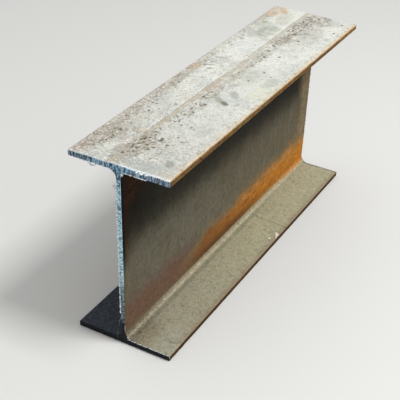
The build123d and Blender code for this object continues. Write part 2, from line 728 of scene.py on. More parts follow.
@dataclass(frozen=True)
class ToeRust:
    """Rust on the flanges' edges: ochre and orange, with a painted cream highlight above and painted shade
    below.
    """

    name: str = "toe_rust"
    near_cream: Colour = colour(166, 138, 100)
    far_cream: Colour = colour(222, 192, 146)
    brown: Colour = colour(136, 106, 72)
    orange: Colour = colour(188, 130, 64)
    olive: Colour = colour(160, 134, 82)
    sandy: Colour = colour(178, 148, 98)
    dark_brown: Colour = colour(96, 70, 40)
    dark: Colour = colour(54, 40, 28)
    low_brown: Colour = colour(104, 78, 50)
    low_orange: Colour = colour(134, 94, 54)

    def material(self) -> bpy.types.Material:
        """Build the finish.

        Returns:
            The material.
        """
        graph = Graph(bpy.data.materials.new(self.name))
        place = graph.place()
        _, y, z = graph.parts(place)
        long = (1, 3.5, 1)
        near, far = graph.between(y, -200, -240), graph.between(y, 190, 245)
        base = graph.mix(graph.flecks(place, 13, 0.5, 0.64, long) * 0.7, self.brown, self.olive)
        base = graph.mix(graph.between(abs(y + 92), 44, 14) * 0.7, base, self.olive)
        base = graph.mix(far * 0.75, base, self.sandy)
        base = graph.mix(graph.flecks(place, 8, 0.48, 0.6, long) * (0.55 - near * 0.2), base, self.orange)
        brown_flecks = graph.flecks(place, 11, 0.54, 0.62, (1, 2, 1))
        base = graph.mix(brown_flecks * (0.5 + near * 0.2), base, self.dark_brown)
        base = graph.mix(graph.flecks(place, 4, 0.52, 0.66, (1, 2, 1)) * 0.8, base, self.dark)
        ragged_z = z + (graph.noise(place, 7, 4, 0.7, (1, 2, 1)) - 0.5) * 5
        # Painted highlight: cream along the upper rounded edge of the toes
        cream = graph.mix(graph.between(y, -280, 240), self.near_cream, self.far_cream)
        base = graph.mix(graph.between(ragged_z, 297.4, 299.4) * 0.85, base, cream)
        # Painted shade on the lower rounding of the upper toes
        base = graph.mix(graph.between(ragged_z, 290.2, 288.6) * 0.6, base, self.dark)
        low = graph.mix(graph.flecks(place, 16, 0.5, 0.62, long), self.low_brown, self.low_orange)
        low = graph.mix(graph.between(ragged_z, 6.0, 3.0) * 0.6, low, self.dark)
        base = graph.mix(graph.between(z, 150, 120), base, low)
        # Painted light: the lower rounding of the upper toes lightened against the shade that it gets
        base = graph.shade(base, 1 + graph.between(z, 294.6, 292.4) * graph.between(z, 288, 291) * 0.6)
        grain = graph.noise(place, 1.3, 4, 0.7)
        base = graph.mix(graph.between(grain, 0.45, 0.7) * 0.35, base, self.dark)
        graph.steel(base, 0.78 + (grain - 0.5) * 0.2, 0.0, grain, 0.3, shine=0.06)
        return graph.owner


@dataclass(frozen=True)
class ChannelScale:
    """Mill scale between the flanges: olive grey on the web, khaki below, and rust along the web's foot."""

    name: str = "channel_scale"
    web_olive: Colour = colour(132, 127, 110)
    web_brown: Colour = colour(126, 113, 90)
    web_green: Colour = colour(104, 108, 90)
    web_purple: Colour = colour(130, 104, 92)
    dark_scale_and_shade: Colour = colour(52, 47, 36)
    web_moss: Colour = colour(88, 82, 56)
    scorched_and_shaded: Colour = colour(26, 18, 12)
    soot: Colour = colour(16, 15, 15)
    scorch_red: Colour = colour(72, 30, 18)
    scorched_rust: Colour = colour(94, 56, 20)
    edge_ochre: Colour = colour(118, 96, 56)
    painted_end_light: Colour = colour(200, 174, 134)
    khaki: Colour = colour(182, 178, 148)
    khaki_near: Colour = colour(168, 163, 140)
    khaki_blue: Colour = colour(174, 182, 172)
    khaki_brown: Colour = colour(134, 122, 100)
    fillet: Colour = colour(176, 164, 136)
    fillet_fleck: Colour = colour(236, 224, 192)
    rim_brown: Colour = colour(150, 130, 108)
    rust_near: Colour = colour(132, 102, 82)
    rust_young: Colour = colour(148, 102, 60)
    rust_orange: Colour = colour(226, 146, 50)
    rust_deep: Colour = colour(158, 90, 42)
    rust_yellow: Colour = colour(236, 172, 84)
    rust_upper: Colour = colour(220, 160, 92)
    rust_glow: Colour = colour(232, 148, 44)
    rust_ochre: Colour = colour(160, 132, 88)
    rust_foot: Colour = colour(112, 78, 48)
    shadow_blue: Colour = colour(44, 53, 66)
    ash_blue: Colour = colour(98, 110, 124)

    def material(self) -> bpy.types.Material:
        """Build the finish.

        Returns:
            The material.
        """
        graph = Graph(bpy.data.materials.new(self.name))
        x, y, z = graph.parts(graph.place())
        side = graph.math("SIGN", x)
        apart = graph.result(graph.node("CombineXYZ", sockets={"X": x + side * 500, "Y": y, "Z": z}))
        along = y * side
        web = self.web(graph, apart, along, z)
        flange = self.flange(graph, apart, abs(x), along, z)
        on_flange = graph.between(abs(z - 150), 128.5, 131.5)
        base = graph.mix(on_flange, web, flange)
        left = graph.between(side, 0.2, -0.2)
        # Painted shadow over the left side, deepest on the lower flange near the near cut, with pale flecks
        # on that deepest part
        ragged_y = y + (graph.noise(apart, 30, 4, 0.65) - 0.5) * 110
        painted_shade = graph.between(ragged_y, -110, -190) * graph.between(z, 60, 30)
        base = graph.mix(left * (0.3 + painted_shade * 0.65), base, self.shadow_blue)
        ash_dots = graph.dots(graph.ragged(apart, 5, 1.2), 11, 1.7, 0.22)
        ashy = graph.flecks(apart, 5, 0.42, 0.62) * 0.35 + ash_dots * 0.5
        base = graph.mix(left * painted_shade * ashy, base, self.ash_blue)
        base = self.rust(graph, apart, base, along, z, left)
        mid = graph.noise(apart, 7, 4, 0.72)
        grain = graph.noise(apart, 2.2, 4, 0.75)
        level = 1 + (mid - 0.5) * (1.15 - on_flange * 0.35)
        base = graph.shade(base, level + (grain - 0.5) * (0.8 + on_flange * 1.2))
        relief = graph.noise(apart, 3, 4, 0.6) * 0.5 + grain * 0.5
        graph.steel(base, 0.62 + (grain - 0.5) * 0.4, 0.0, relief, 0.3, shine=0.06)
        return graph.owner

    def web(self, graph: Graph, place: Signal, along: Signal, z: Signal) -> Signal:
        """Colour the web, with painted shade under the upper flange and painted light at its far end.

        Args:
            graph: The tree that it is added to.
            place: The point being shaded, with the two sides set apart.
            along: Distance along the beam, mirrored on the left side.
            z: Height.

        Returns:
            The web's colour.
        """
        browner = 0.15 + graph.between(along, -120, 240) * 0.6 + (graph.noise(place, 55, 3, 0.6) - 0.5) * 1.2
        browner = browner + (graph.noise(place, 15, 3, 0.6, (1, 1, 4)) - 0.5) * 2.6
        base = graph.mix(browner, self.web_olive, self.web_brown)
        base = graph.mix(graph.flecks(place, 34, 0.5, 0.66) * 0.45, base, self.web_green)
        base = graph.mix(graph.flecks(place, 9, 0.54, 0.66) * 0.35, base, self.web_green)
        purple = graph.between(abs(z - 56), 34, 8) * graph.between(along, -70, -150)
        base = graph.mix(purple * 0.65, base, self.web_purple)
        streaks = graph.flecks(place, 8, 0.48, 0.7, (1, 1, 5))
        base = graph.mix(streaks * (0.06 + graph.between(along, -140, 60) * 0.1), base, self.dark_scale_and_shade)
        smudge = graph.between(abs(along - 259 + graph.noise(place, 18) * 6), 8, 2)
        smudge = smudge * graph.between(abs(z - 146), 34, 12)
        base = graph.mix(smudge * 0.25, base, self.dark_scale_and_shade)
        mossy = graph.between(abs(along - 262), 18, 4) * graph.between(abs(z - 126), 46, 16)
        base = graph.mix(mossy * graph.flecks(place, 10, 0.42, 0.58, (1, 1, 2)) * 0.6, base, self.web_moss)
        # Painted shade: darker up towards the upper flange, where its shadow falls, stopping short of the
        # far end
        ragged_z = z + (graph.noise(place, 40) - 0.5) * 26
        dim = graph.between(ragged_z, 138, 192) * graph.between(along, 266, 238)
        base = graph.shade(base, 1 - dim * (0.7 + graph.between(along, -150, 200) * 0.14))
        # Painted light: a lighter strip up the web at the far end, where light gets in past the end of the
        # upper flange
        end_light = graph.between(along + graph.noise(place, 14, 4, 0.7) * 24, 262, 288)
        end_light = end_light * graph.between(z, 230, 185) * (0.5 + graph.between(z, 120, 172) * 0.5)
        end_light = end_light * (0.5 + graph.flecks(place, 9, 0.4, 0.6, (1, 1, 2)) * 0.5)
        base = graph.mix(end_light * 0.85, base, self.painted_end_light)
        # Painted shade: darker still just under the upper flange's edge
        under = graph.between(z, 184, 206) * graph.between(along, 268, 240)
        base = graph.shade(base, 1 - under * 0.35)
        return self.scorch_and_shade(graph, place, along, z, base)

    def scorch_and_shade(self, graph: Graph, place: Signal, along: Signal, z: Signal, base: Signal) -> Signal:
        """Blacken and redden the steel beside the near cut, most of all under the upper flange, where it is
        partly painted shade.

        Args:
            graph: The tree that it is added to.
            place: The point being shaded, with the two sides set apart.
            along: Distance along the beam, mirrored on the left side.
            z: Height.
            base: The colour under it.

        Returns:
            The colour with the scorch on it.
        """
        # Near-black under the upper flange near the near cut: partly heat tint, partly painted shade
        wander = (graph.noise(place, 24, 3, 0.6) - 0.5) * 40
        heat_and_shade = graph.between(along + wander, -195, -262) * graph.between(z + wander, 172, 232)
        base = graph.mix(heat_and_shade * 0.94, base, self.scorched_and_shaded)
        rusty = graph.flecks(place, 15, 0.44, 0.58, (1, 1.6, 1)) * graph.between(z, 222, 256)
        base = graph.mix(heat_and_shade * rusty * 0.75, base, self.scorched_rust)
        from_cut = along - NEAR_CUT.along(0, z) + (graph.noise(place, 12) - 0.5) * 8
        redder = graph.between(from_cut, 24, 10) * graph.between(z, 110, 160)
        base = graph.mix(redder * 0.45, base, self.scorch_red)
        beside = graph.between(from_cut, 9.0, 4.5)
        base = graph.mix(beside * graph.between(z, 115, 165) * 0.92, base, self.soot)
        return graph.mix(beside * graph.between(z, 140, 100) * 0.4, base, self.edge_ochre)

    def flange(self, graph: Graph, place: Signal, off_middle: Signal, along: Signal, z: Signal) -> Signal:
        """Colour the inner faces of the flanges and the root fillets, with painted shade in the fillets and
        under the upper flange.

        Args:
            graph: The tree that it is added to.
            place: The point being shaded, with the two sides set apart.
            off_middle: Distance from the beam's middle plane.
            along: Distance along the beam, mirrored on the left side.
            z: Height.

        Returns:
            Their colour.
        """
        wander = (graph.noise(place, 20, 3, 0.6) - 0.5) * 60
        base = graph.mix(graph.between(along, 60, -200), self.khaki, self.khaki_near)
        pale_end = graph.between(along + wander, -205, -262) * graph.between(off_middle, 32, 58)
        base = graph.mix(pale_end * 0.2, base, self.khaki_blue)
        brown_end = graph.between(along + wander, -205, -262) * graph.between(off_middle, 50, 24)
        base = graph.mix(brown_end * (0.4 + graph.flecks(place, 5, 0.42, 0.6) * 0.5), base, self.khaki_brown)
        base = graph.mix(graph.flecks(place, 15, 0.5, 0.68, (1, 1.6, 1)) * 0.3, base, self.fillet)
        base = graph.mix(graph.flecks(place, 4, 0.54, 0.7) * (0.5 + brown_end * 0.35), base, self.dark_scale_and_shade)
        base = graph.mix(graph.flecks(place, 11, 0.6, 0.7) * 0.4, base, self.dark_scale_and_shade)
        rim = graph.between(off_middle + (graph.noise(place, 12, 3, 0.6) - 0.5) * 12, 65, 73)
        rim = rim * graph.between(along, -264, -235)
        base = graph.mix(rim * 0.6, base, self.rim_brown)
        # Painted shade: darker in the hollow of the root fillets and at their root, and a little darker
        # towards the web
        near, far = graph.between(along, -120, -250), graph.between(along, 60, 200)
        hollow = graph.between(abs(off_middle - 11.4), 5.4, 1.0)
        root = graph.between(off_middle, 6.8, 5.0)
        level = 1 - hollow * (0.28 - far * 0.2) - root * (0.14 + near * 0.16 - far * 0.14)
        base = graph.shade(base, level - graph.between(off_middle, 40, 16) * 0.08)
        foot = graph.between(off_middle, 9.0, 7.4)
        base = graph.mix(foot * (0.5 - near * 0.35 + far * 0.2), base, self.fillet)
        beading = graph.between(abs(off_middle - 6.4 + (graph.noise(place, 7) - 0.5) * 2.4), 2.6, 0.5)
        beading = beading * (0.1 + graph.flecks(place, 2.8, 0.47, 0.57) * 0.82)
        base = graph.mix(beading * (0.5 - near * 0.15 + far * 0.1), base, self.fillet_fleck)
        scratch = graph.between(abs(along - 89 + off_middle * 0.04), 1.5, 0.4)
        scratch = scratch * graph.between(off_middle, 12, 20) * graph.between(z, 20, 10)
        base = graph.mix(scratch * 0.45, base, self.dark_scale_and_shade)
        # Painted shade: a dark line along the flanges' rims at the far cut on the right side, and at the
        # near cut on the left
        squared = along - off_middle * tan(radians(FAR_CUT.skew))
        far_rim = graph.between(squared + graph.noise(place, 6) * 2, 294.6, 297.0)
        base = graph.mix(far_rim * 0.75, base, self.dark_scale_and_shade)
        # Painted shade under the upper flange: darker all along, and near-black towards the near cut, partly
        # heat tint and partly painted shade, with rust patches
        upper = graph.between(z, 150, 200)
        base = graph.shade(base, 1 - upper * 0.6)
        heat_and_shade = upper * graph.between(along + wander, -150, -250)
        base = graph.mix(heat_and_shade * 0.92, base, self.scorched_and_shaded)
        rusty = graph.flecks(place, 15, 0.47, 0.6, (1, 1.6, 1))
        return graph.mix(heat_and_shade * rusty * 0.7, base, self.scorched_rust)

    def rust(self, graph: Graph, place: Signal, base: Signal, along: Signal, z: Signal,
             left: Signal) -> Signal:
        """Lay the band of rust along the web's foot: brown at the near end, bright orange at the far one.

        Args:
            graph: The tree that it is added to.
            place: The point being shaded, with the two sides set apart.
            base: The colour under it.
            along: Distance along the beam, mirrored on the left side.
            z: Height.
            left: 1 on the left side of the beam and 0 on the right.

        Returns:
            The colour with the rust on it.
        """
        ragged = (graph.noise(place, 20, 5, 0.72, (1, 1.8, 1)) - 0.5) * 40
        foot = graph.between(z, 18.5, 21.5)
        near = graph.between(along + ragged, -60, -150) * graph.between(z + ragged, 68, 54) * foot
        base = graph.mix(near * 0.85, base, self.rust_near)
        top = 40 + graph.between(along, -135, -50) * 18 + graph.between(along, 0, 120) * 8 + ragged
        strong = graph.between(along + ragged, -165, -60)
        halo = graph.between(top + 13 - z, -9, 12) * foot * strong
        base = graph.mix(halo * 0.6, base, self.rust_ochre)
        tint = graph.mix(graph.between(along, -115, 205), self.rust_young, self.rust_orange)
        upper = graph.between(z + ragged * 0.4, 42, 58) * graph.between(along, -60, 60)
        tint = graph.mix(upper * 0.7, tint, self.rust_upper)
        calm = graph.between(along, 90, 200)
        large_flecks = graph.flecks(place, 12, 0.46, 0.62, (1, 3.2, 1))
        tint = graph.mix(large_flecks * (0.6 - calm * 0.2), tint, self.rust_deep)
        small_flecks = graph.flecks(place, 4.5, 0.5, 0.64, (1, 2.4, 1))
        tint = graph.mix(small_flecks * 0.22, tint, self.rust_deep)
        bright = graph.flecks(place, 7, 0.5, 0.64, (1, 2.6, 1)) * graph.between(along, 40, 220)
        tint = graph.mix(bright * 0.5, tint, self.rust_yellow)
        browner = graph.between(z + ragged * 0.15, 40, 23) * (0.95 - graph.between(along, 10, 170) * 0.7)
        tint = graph.mix(browner, tint, self.rust_foot)
        band = graph.between(top - z, -7, 9) * foot
        base = graph.mix(band * strong * 0.97, base, tint)
        middle_dabs = graph.between(abs(along - 240), 34, 8) * graph.between(abs(z - 72), 18, 6)
        end_dabs = graph.between(along, 255, 280) * graph.between(z, 98, 72)
        dabs = graph.largest(middle_dabs, end_dabs) * graph.flecks(place, 9, 0.44, 0.6) * foot
        base = graph.mix(dabs * 0.65, base, graph.mix(0.5, tint, self.rust_ochre))
        runs = graph.flecks(place, 5, 0.46, 0.64, (1, 1, 7)) * graph.between(along, 225, 262)
        base = graph.mix(runs * graph.between(z, 170, 90) * foot * 0.5, base, self.rust_ochre)
        end = graph.between(along + ragged * 0.4, 250, 272) * graph.between(z, 62, 50) * foot
        base = graph.mix(end * 0.6, base, self.rust_glow)
        spread = graph.between(along + ragged, 150, 262)
        spread = spread * graph.between(z, 11.0, 16.5) * graph.between(z, 24, 19)
        base = graph.mix(spread * (1 - left) * 0.7, base, self.rust_orange)
        return graph.mix(left * band * 0.35, base, self.rust_foot)


@dataclass(frozen=True)
class TorchCutFace:
    """Steel that the torch has just cut: blue-grey drag lines, pale on the web and black at the foot."""

    name: str = "torch_cut"
    blue: Colour = colour(162, 222, 255)
    grey: Colour = colour(158, 190, 222)
    pale_grey: Colour = colour(172, 204, 218)
    far_grey: Colour = colour(168, 180, 188)
    groove: Colour = colour(25, 58, 92)
    web_pale: Colour = colour(202, 240, 252)
    web_dark: Colour = colour(58, 92, 116)
    web_low: Colour = colour(74, 78, 86)
    foot: Colour = colour(26, 29, 35)
    bright: Colour = colour(244, 250, 252)

    def material(self) -> bpy.types.Material:
        """Build the finish.

        Returns:
            The material.
        """
        graph = Graph(bpy.data.materials.new(self.name))
        place = graph.place()
        x, y, z = graph.parts(place)
        drag = graph.attribute("drag")
        base = graph.mix(graph.between(x + graph.noise(place, 9) * 40, 30, 76), self.blue, self.grey)
        base = graph.mix(graph.between(x, -22, -50) * 0.75, base, self.pale_grey)
        far = graph.between(y, -100, 100)
        base = graph.mix(far * 0.6, base, self.far_grey)
        thin_lines = graph.flecks(place, 1.5, 0.45, 0.57, (1, 1, 5))
        grooves = graph.largest(thin_lines * 0.8, graph.between(drag, 0.35, 0.75))
        base = graph.mix(grooves * 0.92, base, self.groove)
        pale_lines = graph.flecks(place, 1.8, 0.51, 0.62, (1, 1, 4))
        base = graph.mix(pale_lines * 0.7, base, self.bright)
        base = graph.shade(base, 1 - graph.between(x, -25, -60) * 0.22)
        on_web = graph.between(z + (graph.noise(place, 6) - 0.5) * 8, 281, 270)
        flecks = graph.flecks(place, 2.6, 0.5, 0.6)
        web = graph.mix(far * 0.5, self.web_pale, self.far_grey)
        web = graph.mix(graph.largest(flecks, graph.between(drag, 0.5, 0.9)) * 0.85, web, self.web_dark)
        web_low = graph.mix(flecks * 0.62, self.web_low, self.web_pale)
        web = graph.mix(graph.between(z + (graph.noise(place, 12) - 0.5) * 30, 128, 84) * 0.95, web, web_low)
        base = graph.mix(on_web, base, web)
        low = graph.between(z + (graph.noise(place, 8) - 0.5) * 16, 50, 30)
        base = graph.mix(low * 0.97, base, self.foot)
        grain = graph.noise(place, 1.1, 3, 0.7)
        base = graph.mix(graph.between(grain, 0.52, 0.72) * 0.3, base, self.groove)
        melted = graph.between(graph.attribute("melted"), 0.35, 0.8)
        base = graph.mix(melted, base, self.bright)
        metallic = graph.largest((0.4 + on_web * 0.35) * (1 - low), melted * 0.9)
        graph.steel(base, 0.38 + (grain - 0.5) * 0.3, metallic, grain, 0.25, shine=0.1)
        return graph.owner


@dataclass(frozen=True)
class FreshDross:
    """Drops and curls of steel that ran and froze, still bright."""

    name: str = "fresh_dross"
    bright: Colour = colour(244, 249, 251)
    dull: Colour = colour(180, 194, 202)
    painted_shade: Colour = colour(40, 44, 50)
    drip: Colour = colour(116, 118, 92)
    chip: Colour = colour(242, 236, 220)

    def material(self) -> bpy.types.Material:
        """Build the finish.

        Returns:
            The material.
        """
        graph = Graph(bpy.data.materials.new(self.name))
        place = graph.place()
        x, y, z = graph.parts(place)
        base = graph.mix(graph.flecks(place, 2.2, 0.56, 0.74), self.bright, self.dull)
        # Painted shade: dark on the drops' undersides
        base = graph.mix(graph.attribute("under") * 0.9, base, self.painted_shade)
        low = graph.between(z, 60, 25)
        base = graph.mix(low * graph.between(x, -2, -4) * 0.8, base, self.drip)
        # The same dark colour on the low dross within 3 mm of the web's middle
        base = graph.mix(low * graph.between(abs(x), 3.4, 3.0) * 0.85, base, self.painted_shade)
        chip = graph.between(z, 24, 16) * graph.between(x, 52, 58) * graph.between(y, 0, 20)
        base = graph.mix(chip, base, self.chip)
        grain = graph.noise(place, 0.8, 3, 0.6)
        graph.steel(base, 0.3 + grain * 0.15, 0.9 - low * 0.5 - chip * 0.85, grain, 0.12, shine=0.2)
        return graph.owner


class Zone(Enum):
    """The finishes of the beam, in the order of its material slots."""

    OUTER = OuterScale()
    TOES = ToeRust()
    CHANNEL = ChannelScale()
    CUT = TorchCutFace()


@dataclass(frozen=True)
class PittedPatch:
    """A patch of the outer faces that is rough and brown, in millimetres."""

    x: float
    y: float
    half_width: float
    half_length: float
    strength: float

    def share(self, place: Vector) -> float:
        """Find how strongly a point is pitted.

        Args:
            place: A point, in millimetres.

        Returns:
            A share from 0 to the patch's strength.
        """
        ragged_x = (mottle(place, 13, 3.0) - 0.5) * 12 + (mottle(place, 5, 8.0) - 0.5) * 6
        ragged_y = (mottle(place, 13, 5.0) - 0.5) * 22
        across = (place.x - self.x + ragged_x) / self.half_width
        along = (place.y - self.y + ragged_y) / self.half_length
        return self.strength * ease(1.25, 0.7, hypot(across, along))


# The left rim, the band along the middle and the corners of the upper face
PITTED_PATCHES = (
    PittedPatch(-8, -272, 10, 26, 0.75),
    PittedPatch(-4, -230, 14, 38, 0.95),
    PittedPatch(-14, -246, 10, 34, 0.65),
    PittedPatch(-60, -238, 18, 42, 0.95),
    PittedPatch(-42, -206, 14, 24, 0.45),
    PittedPatch(-65, -165, 13, 62, 0.65),
    PittedPatch(-66, -85, 11, 80, 0.6),
    PittedPatch(-69, 10, 8, 60, 0.5),
    PittedPatch(-71, 110, 6, 60, 0.35),
    PittedPatch(-70, 205, 7, 60, 0.35),
    PittedPatch(0, -150, 11, 50, 0.65),
    PittedPatch(0, -70, 11, 52, 0.7),
    PittedPatch(2, 10, 9, 52, 0.5),
    PittedPatch(1, 95, 10, 56, 0.6),
    PittedPatch(1, 172, 11, 46, 0.65),
    PittedPatch(2, 230, 13, 66, 0.9),
    PittedPatch(14, 272, 24, 22, 0.85),
    PittedPatch(42, 276, 26, 16, 0.24),
    PittedPatch(24, -224, 14, 26, 0.2),
    PittedPatch(30, 190, 22, 60, 0.22),
    PittedPatch(24, 236, 11, 44, 0.42),
)


@dataclass(frozen=True)
class LonePit:
    """One pit in the upper face, in millimetres."""

    x: float
    y: float
    radius: float

    def share(self, place: Vector) -> float:
        """Find how deep the pit is at a point.

        Args:
            place: A point, in millimetres.

        Returns:
            A share from 0 to 1.
        """
        off_x, off_y = place.x - self.x, place.y - self.y
        if abs(off_x) > 2 * self.radius or abs(off_y) > 2 * self.radius:
            return 0.0
        return ease(1.35, 0.45, hypot(off_x, off_y) / self.radius + mottle(place, 3, 4.0) - 0.5)


# The pits that stand out one by one, by their radius
LONE_PITS = tuple(LonePit(x, y, radius) for radius, spots in (
    (4.0, ((11, -215),)),
    (3.2, ((11, -210), (-64, -183))),
    (2.7, ((13, -235), (25, -221), (9, -96), (5, 92), (0, 116), (-1, 137), (25, 105), (55, 279), (23, 176),
           (-58, -56), (58, 239))),
    (2.1, ((26, -196), (35, -204), (26, -164), (-6, -199), (0, -161), (4, -157), (-13, -268), (-4, -256),
           (-6, -247), (-4, -148), (0, -136), (-1, -118), (4, -101), (-4, -77), (7, -124), (24, 4), (31, 42),
           (46, 33), (-56, 16), (-55, -119), (-55, -131), (-48, -131), (-60, -114), (-47, -154), (24, -262),
           (5, 200), (12, 250), (6, 262), (-8, 205))),
    (1.6, ((-5, 75), (-4, 87), (-4, 101), (3, 69), (7, 75), (-2, 62), (0, 45), (4, 53), (1, 29), (-1, 21),
           (2, 14), (-1, 4), (-5, 7), (3, 158), (-5, 155), (-8, 126), (0, 94), (5, 83))),
) for x, y in spots)


@dataclass(frozen=True)
class WearDepths:
    """How deep each kind of wear goes, in millimetres."""

    waves: float = 0.16
    ripples: float = 0.05
    pits: float = 0.45
    crust: float = 0.12
    toes: float = 0.3
    toe_grain: float = 0.16
    rust: float = 0.3
    cut: float = 0.06
    drag_lines: float = 0.5
    rim_bites: float = 0.35


@dataclass
class RolledBeam:
    """The beam: a rolled section with root fillets and eased toes, drawn out between two torch cuts."""

    depth: float = DEPTH
    width: float = WIDTH
    flange: float = 9.0
    web: float = 6.5
    root_radius: float = 13.0
    toe_radius: float = 1.5
    rim_radius: float = 0.8
    near: TorchCut = NEAR_CUT
    far: TorchCut = FAR_CUT
    ring_pitch: float = 3.9
    flange_slices: int = 17
    web_slices: int = 34
    flange_layers: int = 3
    root_slices: tuple[float, ...] = (0.5, 1.0, 1.9, 2.8, 3.8)
    root_segments: int = 6
    edge_segments: int = 2
    near_cut_divisions: int = 2
    far_cut_divisions: int = 1
    drag_pitch: float = 2.4
    worn: WearDepths = WearDepths()
    name: str = "rolled_beam"

    def build(self) -> bpy.types.Object:
        """Build and dress the beam, in the place of the CAD solid.

        Returns:
            The beam.
        """
        bm = bmesh.new()
        self.draw_section(bm)
        self.draw_out(bm)
        self.set_cuts(bm)
        self.set_zones(bm)
        self.wear(bm)
        beam = make_object(self.name, bm, [zone.value.material() for zone in Zone], MM)
        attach(beam, BODY)
        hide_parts(NODE)
        return beam

    def cut_section(self, bm: bmesh.types.BMesh, axis: str, at: float) -> None:
        """Slice the flat section along one line.

        Args:
            bm: The mesh.
            axis: X for an upright slice or Z for a level one.
            at: Where the slice is, in millimetres.
        """
        line = Vector((1, 0, 0)) if axis == "X" else Vector((0, 0, 1))
        bmesh.ops.bisect_plane(bm, geom=[*bm.verts, *bm.edges, *bm.faces], dist=TOUCHING,
                               plane_co=line * at, plane_no=line)

    def draw_section(self, bm: bmesh.types.BMesh) -> None:
        """Draw the section at the near end: a quarter of it, rounded, sliced and mirrored twice.

        Args:
            bm: The mesh.
        """
        half_width, half_web, half_depth = self.width / 2, self.web / 2, self.depth / 2
        corners = ((0, 0), (half_width, 0), (half_width, self.flange), (half_web, self.flange),
                   (half_web, half_depth), (0, half_depth))
        outline = [bm.verts.new((x, 0, z)) for x, z in corners]
        bm.faces.new(outline)
        bmesh.ops.bevel(bm, geom=outline[1:3], offset=self.toe_radius, segments=self.edge_segments,
                        profile=0.5, affect="VERTICES", material=-1)
        root = [v for v in bm.verts if (v.co - Vector((half_web, 0, self.flange))).length < TOUCHING]
        bmesh.ops.bevel(bm, geom=root, offset=self.root_radius, segments=self.root_segments,
                        profile=0.5, affect="VERTICES", material=-1)
        fillet_end = half_web + self.root_radius
        fillet_top = self.flange + self.root_radius
        flat = half_width - self.toe_radius - fillet_end
        for step in range(self.flange_slices + 1):
            self.cut_section(bm, "X", fillet_end + flat * step / self.flange_slices)
        for share in self.root_slices:
            self.cut_section(bm, "X", half_web * share)
        for step in range(1, self.flange_layers):
            self.cut_section(bm, "Z", self.flange * step / self.flange_layers)
        for step in range(self.web_slices):
            self.cut_section(bm, "Z", fillet_top + (half_depth - fillet_top) * step / self.web_slices)
        for axis, move in (("X", Vector()), ("Z", Vector((0, 0, half_depth)))):
            bmesh.ops.translate(bm, verts=bm.verts[:], vec=-move)
            bmesh.ops.mirror(bm, geom=[*bm.verts, *bm.edges, *bm.faces], axis=axis, merge_dist=TOUCHING)
            bmesh.ops.translate(bm, verts=bm.verts[:], vec=move)

    def draw_out(self, bm: bmesh.types.BMesh) -> None:
        """Draw the section out into a closed bar, melt its rims, and divide it into rings.

        Args:
            bm: The mesh, which holds the section.
        """
        length = self.far.middle - self.near.middle
        drawn = bmesh.ops.extrude_face_region(bm, geom=bm.faces[:])["geom"]
        far_end = [v for v in drawn if isinstance(v, bmesh.types.BMVert)]
        bmesh.ops.translate(bm, verts=far_end, vec=(0, length, 0))
        bmesh.ops.recalc_face_normals(bm, faces=bm.faces[:])
        rims = [e for e in bm.edges if sum(abs(f.normal.y) > 0.9 for f in e.link_faces) == 1]
        bmesh.ops.bevel(bm, geom=rims, offset=self.rim_radius, segments=self.edge_segments,
                        profile=0.5, affect="EDGES", material=-1)
        runs = [e for e in bm.edges if abs(e.verts[0].co.y - e.verts[1].co.y) > length / 2]
        bmesh.ops.subdivide_edges(bm, edges=runs, cuts=round(length / self.ring_pitch), use_grid_fill=True)
        on_top = [e for e in bm.edges if all(v.co.z > self.depth - FLUSH for v in e.verts)]
        bmesh.ops.subdivide_edges(bm, edges=on_top, cuts=1, use_grid_fill=True)
        for end, divisions in ((0.0, self.near_cut_divisions), (length, self.far_cut_divisions)):
            cut_face = [e for e in bm.edges if all(abs(v.co.y - end) < FLUSH for v in e.verts)]
            bmesh.ops.subdivide_edges(bm, edges=cut_face, cuts=divisions, use_grid_fill=True)
        # A face of more than four sides could fold over itself once it is worn
        many_sided = [f for f in bm.faces if len(f.verts) > 4]
        bmesh.ops.triangulate(bm, faces=many_sided, quad_method="BEAUTY", ngon_method="BEAUTY")

    def set_cuts(self, bm: bmesh.types.BMesh) -> None:
        """Turn every ring a little, so that the end rings lie on the two cuts.

        Args:
            bm: The mesh.
        """
        length = self.far.middle - self.near.middle
        for vert in bm.verts:
            x, along, z = vert.co
            start, end = self.near.along(x, z), self.far.along(x, z)
            vert.co.y = start + (end - start) * along / length
        bm.normal_update()

    def set_zones(self, bm: bmesh.types.BMesh) -> None:
        """Give each face the finish of its part of the section.

        Args:
            bm: The mesh.
        """
        order = list(Zone)
        toes_from = self.width / 2 - 0.6 * self.toe_radius
        outer_skin = 0.4 * self.toe_radius
        for face in bm.faces:
            middle = face.calc_center_median()
            if abs(face.normal.y) > 0.3:
                zone = Zone.CUT
            elif abs(middle.x) > toes_from:
                zone = Zone.TOES
            elif min(middle.z, self.depth - middle.z) < outer_skin:
                zone = Zone.OUTER
            else:
                zone = Zone.CHANNEL
            face.material_index = order.index(zone)

    def wear(self, bm: bmesh.types.BMesh) -> None:
        """Sink pits, rust scale and drag lines into the surface, and note them for the finishes.

        Args:
            bm: The mesh.
        """
        layers = {name: bm.verts.layers.float.new(name) for name in ("band", "pitting", "drag", "melted")}
        moved = []
        for vert in bm.verts:
            facing_end = ease(0.2, 0.75, abs(vert.normal.y))
            sunk = 0.0
            if facing_end < 1:
                sunk += (1 - facing_end) * self.side_relief(vert, layers)
            if facing_end > 0:
                sunk += facing_end * self.cut_relief(vert, layers)
            moved.append(vert.co - vert.normal * sunk)
        for vert, place in zip(bm.verts, moved):
            vert.co = place

    def side_relief(self, vert: bmesh.types.BMVert, layers: dict[str, Any]) -> float:
        """Find the depth of the wear on the rolled faces.

        Args:
            vert: A vertex.
            layers: The mesh's own values, to be filled in.

        Returns:
            The depth, in millimetres.
        """
        place, worn = vert.co, self.worn
        wavy = worn.waves * mottle(place, 40) + worn.ripples * mottle(place, 6)
        if abs(vert.normal.z) > 0.9 and min(place.z, self.depth - place.z) < 0.5:
            upper = place.z > self.depth / 2
